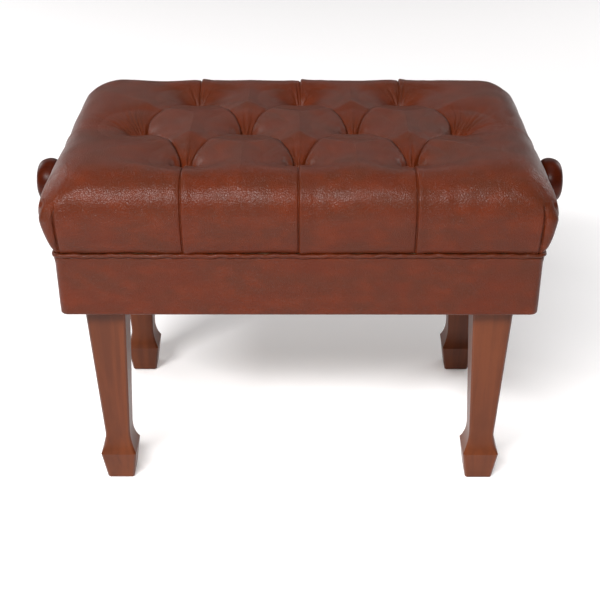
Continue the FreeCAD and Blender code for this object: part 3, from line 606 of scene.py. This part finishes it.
    def faces(self):
        """Triangles, each square cut along the diagonal that follows the folds."""
        q = self.quads
        lattice_u = self.u[q].mean(1) / HALF_PITCH
        lattice_v = self.v[q].mean(1) / ROW_PITCH
        rising = (np.floor(lattice_u) + np.floor(lattice_v)) % 2 == 0
        one = np.where(rising[:, None], q[:, [0, 1, 2]], q[:, [0, 1, 3]])
        two = np.where(rising[:, None], q[:, [0, 2, 3]], q[:, [1, 2, 3]])
        return np.concatenate([one, two]).tolist()


def close_underneath(points, faces, ring):
    """Closes the cover: in under the edge to the box's boards, up beside them, and across the seat board."""
    edge = points[ring]
    half_x, half_y = BOARD_HIGH.x + BOARD_GAP, BOARD_HIGH.y + BOARD_GAP
    across = edge * [half_x / edge[:, 0].max(), half_y / edge[:, 1].max(), 1]
    above = across * [1, 1, 0] + [0, 0, BOARD_HIGH.z + BOARD_GAP]
    size = len(ring)
    starts = [ring, len(points) + np.arange(size), len(points) + size + np.arange(size)]
    centre = len(points) + 2 * size
    for outer, inner in zip(starts, starts[1:]):
        faces += np.stack([outer, inner, np.roll(inner, -1), np.roll(outer, -1)], -1).tolist()
    last = starts[-1].tolist()
    faces += [(last[k], centre, last[(k + 1) % size]) for k in range(size)]
    return np.concatenate([points, across, above, [[0, 0, BOARD_HIGH.z + BOARD_GAP]]]), faces


def make_cushion(finishes):
    cushion = Cushion()
    points = cushion.build()
    points, faces = close_underneath(points, cushion.faces(), cushion.last_ring)
    made = piece("cushion_leather", points, faces, finishes["leather"], "seat")
    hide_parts("cushion_cover", "foam_top", "foam_edge_front", "foam_edge_back", "foam_edge_left",
                "foam_edge_right")


# ---- skirt, piping and buttons ----------------------------------------------------------------------------
def make_skirt(finishes):
    """Leather round the box: a slightly uneven face, a round lower edge, and a turned-up inside."""
    low, high = BOX_LOW.z, PIPE_LOW.z + 0.1 * MM
    thick, padding, board = 1.5 * MM, 2.5 * MM, 12 * MM
    lip = 3 * MM  # radius of the round lower edge
    turn_up = 18 * MM
    path = rounded_path(BOX_HIGH.x, BOX_HIGH.y, CORNER, PATH_STEP)
    count = len(path[0])
    wander, belly = waves(count, 3, 0.16, 0.35 * MM), waves(count, 5, 0.5, 0.3 * MM)
    inside = -(thick + padding + board + thick)

    def section(i):
        swell, drift = belly[i], wander[i]
        outer = [
            (-2.0 * MM, high), (-0.3 * MM, high - 0.1 * MM), (0.9 * MM, high - 0.8 * MM),
            (1.3 * MM + drift * 0.4, high - 2.2 * MM), (0.9 * MM + swell, high - 5 * MM),
            (0.2 * MM + swell, high - 10 * MM), (swell + 0.1 * MM, high - 20 * MM),
            (swell, (high + low) / 2), (swell * 0.5, low + 14 * MM), (drift, low + 5 * MM),
        ]
        outer += [
            (-lip * (1 - math.cos(a)) + drift * (1 - a), low + lip * (1 - math.sin(a)))
            for a in (0.3, 0.75, 1.15)
        ]
        outer += [(-3.2 * MM, low), (inside + 0.7 * MM, low), (inside, low + 0.7 * MM)]
        outer += [(inside, low + thick + turn_up)]
        inner = [(inside + thick, low + thick + turn_up), (inside + thick, low + thick), (-lip, low + thick)]
        inner += [(-thick, low + lip), (-thick, high)]
        return outer + inner

    made = swept_ring("skirt_leather", path, section, finishes["leather"], "seat")
    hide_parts("skirt_cover")


def make_piping(finishes):
    """Leather-covered cord round the seam, wandering a little as sewn work does."""
    radius = (PIPE_HIGH.z - PIPE_LOW.z) / 2
    path = rounded_path(PIPE_HIGH.x - radius, PIPE_HIGH.y - radius, CORNER, PATH_STEP)
    count = len(path[0])
    rise, out = waves(count, 11, 0.2, 0.75 * MM), waves(count, 12, 0.3, 0.4 * MM)
    size = waves(count, 13, 0.12, 0.15 * MM)
    sides = 14
    turns = [k / sides * 2 * math.pi for k in range(sides)]
    fullness, proud = 1.04, 0.7 * MM

    def section(i):
        r = radius * fullness + size[i]
        return [(out[i] + proud + r * math.cos(a), SEAM_Z + rise[i] - r * math.sin(a)) for a in turns]

    made = swept_ring("piping_cord", path, section, finishes["piping_leather"], "seat")
    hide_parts("piping")


def repeat(name, unit, places, material, body):
    """Copies of one small mesh at (position, turn about Z), made by instancing, as a plain mesh."""
    mesh = bpy.data.meshes.new(name + "_places")
    mesh.from_pydata([tuple(p) for p, _ in places], [], [])
    turn = mesh.attributes.new("turn", "FLOAT", "POINT")
    turn.data.foreach_set("value", [angle for _, angle in places])
    carrier = bpy.data.objects.new(name + "_places", mesh)
    bpy.context.scene.collection.objects.link(carrier)
    source = bpy.data.objects.new(name + "_unit", unit)
    bpy.context.scene.collection.objects.link(source)

    tree = bpy.data.node_groups.new(name, "GeometryNodeTree")
    tree.interface.new_socket("Geometry", in_out="INPUT", socket_type="NodeSocketGeometry")
    tree.interface.new_socket("Unit", in_out="INPUT", socket_type="NodeSocketObject")
    tree.interface.new_socket("Geometry", in_out="OUTPUT", socket_type="NodeSocketGeometry")
    start, end = tree.nodes.new("NodeGroupInput"), tree.nodes.new("NodeGroupOutput")
    info, copies = tree.nodes.new("GeometryNodeObjectInfo"), tree.nodes.new("GeometryNodeInstanceOnPoints")
    named, spin = tree.nodes.new("GeometryNodeInputNamedAttribute"), tree.nodes.new("ShaderNodeCombineXYZ")
    real, paint = tree.nodes.new("GeometryNodeRealizeInstances"), tree.nodes.new("GeometryNodeSetMaterial")
    named.data_type = "FLOAT"
    named.inputs["Name"].default_value = "turn"
    paint.inputs["Material"].default_value = material
    link = tree.links.new
    link(start.outputs["Unit"], info.inputs["Object"])
    link(start.outputs["Geometry"], copies.inputs["Points"])
    link(info.outputs["Geometry"], copies.inputs["Instance"])
    link(named.outputs["Attribute"], spin.inputs["Z"])
    link(spin.outputs["Vector"], copies.inputs["Rotation"])
    link(copies.outputs["Instances"], real.inputs["Geometry"])
    link(real.outputs["Geometry"], paint.inputs["Geometry"])
    link(paint.outputs["Geometry"], end.inputs["Geometry"])

    modifier = carrier.modifiers.new("copies", "NODES")
    modifier.node_group = tree
    names = {item.name: item.identifier for item in tree.interface.items_tree if item.in_out == "INPUT"}
    modifier[names["Unit"]] = source
    graph = bpy.context.evaluated_depsgraph_get()
    plain = bpy.data.meshes.new_from_object(carrier.evaluated_get(graph))
    for spent in (carrier, source):
        bpy.data.objects.remove(spent)
    made = bpy.data.objects.new(name, plain)
    bpy.context.scene.collection.objects.link(made)
    plain.polygons.foreach_set("use_smooth", [True] * len(plain.polygons))
    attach(made, body)
    return made


def dome_mesh(radius, rise, rim, rings=7, turns=28):
    """Domed button: a round cap over a short rim, closed underneath."""
    rows = [(radius * math.sin(a), rim + rise * math.cos(a)) for a in np.linspace(0.12, math.pi / 2, rings)]
    rows += [(radius * 0.97, rim * 0.5), (radius * 0.8, 0.0)]
    verts = [(0, 0, rim + rise)]
    angles = np.linspace(0, 2 * math.pi, turns, endpoint=False)
    for r, z in rows:
        verts += [(r * math.cos(angle), r * math.sin(angle), z) for angle in angles]
    verts.append((0, 0, 0))
    faces = [(0, 1 + k, 1 + (k + 1) % turns) for k in range(turns)]
    for row in range(len(rows) - 1):
        a, b = 1 + row * turns, 1 + (row + 1) * turns
        faces += [(a + k, b + k, b + (k + 1) % turns, a + (k + 1) % turns) for k in range(turns)]
    last = 1 + (len(rows) - 1) * turns
    faces += [(last + k, len(verts) - 1, last + (k + 1) % turns) for k in range(turns)]
    mesh = bpy.data.meshes.new("dome")
    mesh.from_pydata(verts, [], faces)
    return mesh


def make_buttons(finishes):
    unit = dome_mesh(radius=9 * MM, rise=3.6 * MM, rim=2.4 * MM)
    places = [
        ((place * HALF_PITCH, row * ROW_PITCH, BUTTON_BASE), 0.4 * place)
        for row, across in TUFT_ROWS for place in across
    ]
    made = repeat("leather_buttons", unit, places, finishes["button_leather"], "seat")
    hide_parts("tuft_buttons")


def wire_mesh(points, radius, sides=6):
    """Thin closed bar through points that lie in the XZ plane."""
    verts, faces = [], []
    for k, (x, z) in enumerate(points):
        before, after = points[max(k - 1, 0)], points[min(k + 1, len(points) - 1)]
        along = Vector((after[0] - before[0], 0, after[1] - before[1])).normalized()
        out = Vector((along.z, 0, -along.x))
        for t in range(sides):
            angle = t / sides * 2 * math.pi
            way = out * math.cos(angle) + Vector((0, 1, 0)) * math.sin(angle)
            verts.append(Vector((x, 0, z)) + radius * way)
    for k in range(len(points) - 1):
        a, b = k * sides, (k + 1) * sides
        faces += [(a + t, a + (t + 1) % sides, b + (t + 1) % sides, b + t) for t in range(sides)]
    faces.append(tuple(reversed(range(sides))))
    faces.append(tuple(range((len(points) - 1) * sides, len(points) * sides)))
    mesh = bpy.data.meshes.new("wire")
    mesh.from_pydata([tuple(v) for v in verts], [], faces)
    return mesh


def make_staples(finishes):
    """Staples that hold the cushion's leather just above the piping."""
    half, leg, shoulder = 2.0 * MM, 0.6 * MM, 0.5 * MM
    left = [(-half, -leg), (-half, 0), (-half + shoulder, 0.3 * MM)]
    right = [(half - shoulder, 0.3 * MM), (half, 0), (half, -leg)]
    unit = wire_mesh(left + right, 0.28 * MM)
    inset = 3.6 * MM
    out_x, out_y = PIPE_HIGH.x - inset, PIPE_HIGH.y - inset
    z = PIPE_HIGH.z + 0.1 * MM
    random = np.random.default_rng(7)
    hidden = 0.8  # share of the front and back staples that the leather covers
    places = []
    for side in (-1, 1):
        for x in np.arange(-266, 267, 19) * MM:
            if random.uniform() < hidden:
                continue
            place = (x + random.uniform(-3, 3) * MM, side * out_y, z + random.uniform(-0.3, 0.4) * MM)
            places.append((place, random.uniform(-0.06, 0.06)))
        for y in np.arange(-161, 162, 38) * MM:
            place = (side * out_x, y + random.uniform(-3, 3) * MM, z)
            places.append((place, math.pi / 2 + random.uniform(-0.06, 0.06)))
    repeat("edge_staples", unit, places, finishes["brass"], "seat")


def finish_cad(finishes):
    """Better finishes on the pieces that are shown as they were designed."""
    def starting(*starts):
        return [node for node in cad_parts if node.startswith(starts)]

    groups = {
        "leg_wood": starting("leg_front", "leg_back"),
        "rail_wood_x": ["rail_front", "rail_back"],
        "rail_wood_y": ["rail_left", "rail_right"],
        "knob_wood": ["knob_left", "knob_right"],
        "pine_x": ["box_front", "box_back", "seat_board"],
        "pine_y": ["box_left", "box_right"],
        "pine_z": ["box_corner_blocks"] + starting("corner_block"),
        "zinc_steel": ["leg_hanger_bolts", "leg_bolt_washers", "leg_bolt_nuts", "board_screws",
                       "lower_track_screws", "upper_track_screws", "scissor_centre_pins", "thrust_collars"],
        "bright_steel": ["lead_screw", "lower_pivot_shaft", "roller_shaft", "lower_pivot_spacers",
                         "nut_block", "thrust_block"],
        "black_steel": starting("arm_", "lower_track_f", "lower_track_b", "upper_track_f", "upper_track_b")
        + ["nut_bars", "thrust_bars"],
        "brass": ["knob_inserts"],
        "nylon": ["track_rollers", "nut_bar_shoes", "shaft_bushings", "foot_glides"],
        "felt": ["skirt_padding"],
        "twine": ["button_ties"],
    }
    for name, nodes in groups.items():
        for node in nodes:
            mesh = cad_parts[node].data
            mesh.materials.clear()
            mesh.materials.append(finishes[name])


# ---- stage ----------------------------------------------------------------------------------------------
def area_light(name, place, aim, size, power):
    data = bpy.data.lights.new(name, "AREA")
    data.shape, data.size, data.size_y, data.energy = "RECTANGLE", size[0], size[1], power
    made = bpy.data.objects.new(name, data)
    made.location = place
    made.rotation_euler = (Vector(aim) - Vector(place)).to_track_quat("-Z", "Y").to_euler()
    bpy.context.scene.collection.objects.link(made)


def make_stage():
    def floor_look(coords):
        tone = coords.noise(2.0, 2.0, 0.5)
        return {"Base_Color": (tone * 0.02).mix((0.95, 0.93, 0.93), (0.88, 0.88, 0.88))}

    size = 6.0
    mesh = bpy.data.meshes.new("floor")
    corners = [(-size, -size, 0), (size, -size, 0), (size, size, 0), (-size, size, 0)]
    mesh.from_pydata(corners, [], [(0, 1, 2, 3)])
    floor = bpy.data.objects.new("floor", mesh)
    bpy.context.scene.collection.objects.link(floor)
    glow = {"Emission_Color": (1, 1, 1, 1), "Emission_Strength": 0.12}
    mesh.materials.append(finish("floor_paint", floor_look, Roughness=0.9, **glow))
    world = bpy.data.worlds.new("studio")
    world.use_nodes = True
    background = world.node_tree.nodes["Background"]
    background.inputs["Color"].default_value = (1, 1, 1, 1)
    background.inputs["Strength"].default_value = 0.14
    bpy.context.scene.world = world
    area_light("key", (-0.75, -2.0, 2.1), (0, 0, 0.4), (2.3, 0.35), 148)
    area_light("backdrop", (0.0, 3.0, 1.9), (0, 0, 0.4), (4.0, 1.4), 13)
    area_light("overhead", (0.3, -0.2, 3.2), (0, 0, 0), (2.4, 2.4), 14)
    area_light("rear_left", (-2.6, 2.2, 1.3), (0, 0, 0.3), (1.4, 1.4), 32)
    area_light("rear_right", (2.6, 2.2, 1.3), (0, 0, 0.3), (1.4, 1.4), 26)
    bpy.context.scene.view_settings.view_transform = "Standard"


def make_camera():
    data = bpy.data.cameras.new("camera")
    data.lens, data.sensor_width = 71.5, 36
    camera = bpy.data.objects.new("camera", data)
    bpy.context.scene.collection.objects.link(camera)
    yaw, pitch, roll = math.radians(0.33), math.radians(29.03), 0.0022
    camera.location = (0.0085, -1.4395, 0.9879)
    tilt = Matrix.Rotation(math.pi / 2 - pitch, 3, "X")
    turned = Matrix.Rotation(yaw, 3, "Z") @ tilt @ Matrix.Rotation(-roll, 3, "Z")
    camera.rotation_euler = turned.to_euler()
    bpy.context.scene.camera = camera


def main():
    finishes = make_finishes()
    finish_cad(finishes)
    make_cushion(finishes)
    make_skirt(finishes)
    make_piping(finishes)
    make_buttons(finishes)
    make_staples(finishes)
    make_stage()
    make_camera()


main()
